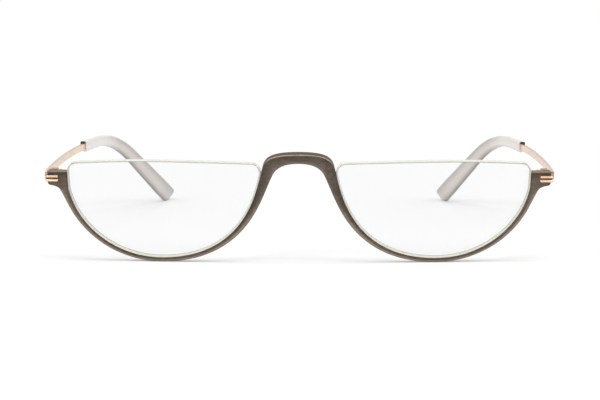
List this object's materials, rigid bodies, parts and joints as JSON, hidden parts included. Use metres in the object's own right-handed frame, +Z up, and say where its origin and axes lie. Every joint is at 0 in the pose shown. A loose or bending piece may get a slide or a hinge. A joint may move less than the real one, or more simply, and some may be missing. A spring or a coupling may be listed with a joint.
{
  "type": "reading glasses",
  "caption": "Half-moon reading glasses: under-rim front with a saddle bridge, open-topped clear lenses, slim folding temples with soft flared tips.",
  "frame": {"origin": "bottom centre of the bounding box, on the surface the glasses stand on, midway between the two sides and between the front and the temple ends", "axes": "+X to the right as the front is looked at, +Y from the front towards the temple ends, +Z up; the front faces -Y; left and right in names are as seen from the front"},
  "size_m": [0.1436, 0.149, 0.0306],
  "materials": {
    "front_plastic": "fine brushed matte taupe",
    "lens_clear": "clear polished",
    "nylon": "clear nylon",
    "rose_gold": "satin rose-gold plating",
    "dark_trim": "matte dark",
    "soft_tip": "smooth translucent grey"
  },
  "bodies": {
    "front": {"front_frame": "front_plastic", "lens_left": "lens_clear", "lens_right": "lens_clear", "rim_liner_left": "nylon", "rim_liner_right": "nylon", "lens_cord_left": "nylon", "lens_cord_right": "nylon", "end_clip_left": "rose_gold", "end_clip_right": "rose_gold", "clip_rivet_left": "rose_gold", "clip_rivet_right": "rose_gold", "front_hinge_left": "rose_gold", "front_hinge_right": "rose_gold", "hinge_screw_left": "rose_gold", "hinge_screw_right": "rose_gold"},
    "temple_left": {"temple_hinge_left": "rose_gold", "temple_bar_left": "rose_gold", "tip_trim_left": "dark_trim", "temple_tip_left": "soft_tip"},
    "temple_right": {"temple_hinge_right": "rose_gold", "temple_bar_right": "rose_gold", "tip_trim_right": "dark_trim", "temple_tip_right": "soft_tip"}
  },
  "joints": [
    {"name": "left_temple_fold", "type": "hinge", "parent": "front", "child": "temple_left", "pos_m": [-0.06795, -0.06446, 0.02356], "axis": [0, 0, -1], "range_deg": [0, 82]},
    {"name": "right_temple_fold", "type": "hinge", "parent": "front", "child": "temple_right", "pos_m": [0.06795, -0.06446, 0.02356], "axis": [0, 0, 1], "range_deg": [0, 76]}
  ]
}
